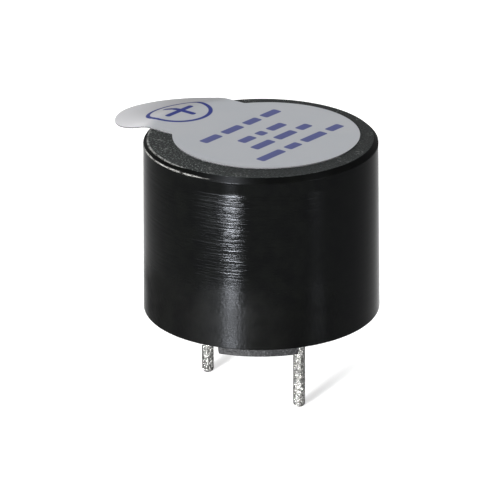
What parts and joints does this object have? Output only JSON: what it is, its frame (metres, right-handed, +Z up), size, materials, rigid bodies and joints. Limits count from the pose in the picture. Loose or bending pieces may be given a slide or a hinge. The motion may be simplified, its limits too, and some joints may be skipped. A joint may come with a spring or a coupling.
{
  "type": "piezo buzzer",
  "caption": "Round board-mount buzzer: black moulded case on small feet, tinned wire leads below, and a peel-off seal label with a side tab over its sound hole.",
  "frame": {"origin": "midway between the two leads, on the plane of the feet's undersides, which is the board's surface", "axes": "+Z up through the top face, +X from the positive lead to the negative lead"},
  "size_m": [0.0154, 0.0119, 0.0136],
  "materials": {
    "case_plastic": "black moulded plastic, fine-textured top face, glossy side with faint scuffs",
    "label_film": "thin pale grey film with blue print",
    "brass": "rolled brass sheet",
    "piezo_ceramic": "fired ceramic",
    "fired_silver": "matt fired silver",
    "silicone": "translucent white silicone",
    "red_insulation": "smooth",
    "blue_insulation": "smooth",
    "black_insulation": "smooth",
    "solder": "bright solder",
    "board_laminate": "woven laminate",
    "copper": "copper foil",
    "moulding_compound": "moulded epoxy",
    "tinned_metal": "tinned",
    "resistor_ceramic": "dark glazed chip",
    "capacitor_ceramic": "tan ceramic",
    "tinned_wire": "dip-tinned wire, bright and slightly uneven",
    "sealing_resin": "dark grey cast resin"
  },
  "bodies": {
    "root": {"case": "case_plastic", "seal_label": "label_film", "bender_plate": "brass", "piezo_ceramic": "piezo_ceramic", "drive_electrode": "fired_silver", "feedback_electrode": "fired_silver", "bender_glue": "silicone", "drive_wire": "red_insulation", "feedback_wire": "blue_insulation", "ground_wire": "black_insulation", "bender_solder": "solder", "board_wire_solder": "solder", "circuit_board": "board_laminate", "board_copper": "copper", "transistor_body": "moulding_compound", "transistor_legs": "tinned_metal", "load_resistor": "resistor_ceramic", "bias_resistor": "resistor_ceramic", "feedback_resistor": "resistor_ceramic", "supply_capacitor": "capacitor_ceramic", "chip_end_caps": "tinned_metal", "positive_lead": "tinned_wire", "negative_lead": "tinned_wire", "lead_solder": "solder", "sealing_resin": "sealing_resin"}
  },
  "joints": []
}
